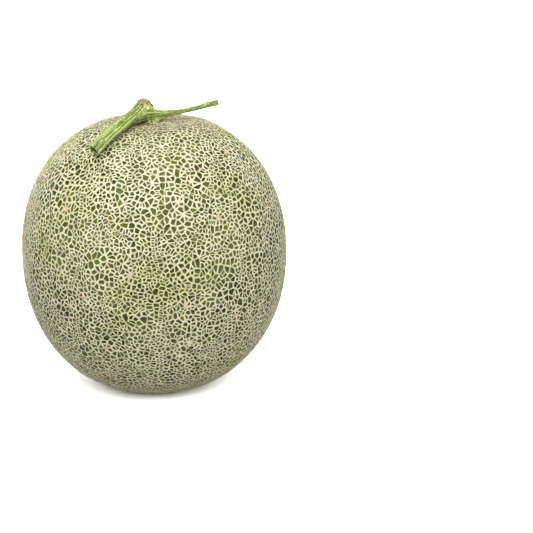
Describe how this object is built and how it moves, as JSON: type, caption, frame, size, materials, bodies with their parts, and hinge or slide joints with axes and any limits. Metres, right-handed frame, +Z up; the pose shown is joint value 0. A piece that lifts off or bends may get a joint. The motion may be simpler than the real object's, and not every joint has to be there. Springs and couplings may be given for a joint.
{
  "type": "cantaloupe melon",
  "caption": "Whole netted melon, a little taller than round, standing on its blossom end, with a T-shaped piece of ribbed vine across the sunken stem end.",
  "frame": {"origin": "the middle of the flat spot at the blossom end, which the fruit rests on", "axes": "+Z up through the fruit to its stem end, -Y towards the viewer of the picture, +X to the right, towards the stem's thin arm"},
  "size_m": [0.1524, 0.151, 0.1681],
  "materials": {
    "netted_rind": "matt cream cork ridges over satin green skin, which runs from blue-green to olive",
    "green_vine": "satin light green ribs with darker grooves, a tan corky leaf scar and dark dished cut ends"
  },
  "bodies": {
    "root": {"melon": "netted_rind", "vine_stem": "green_vine"}
  },
  "joints": []
}
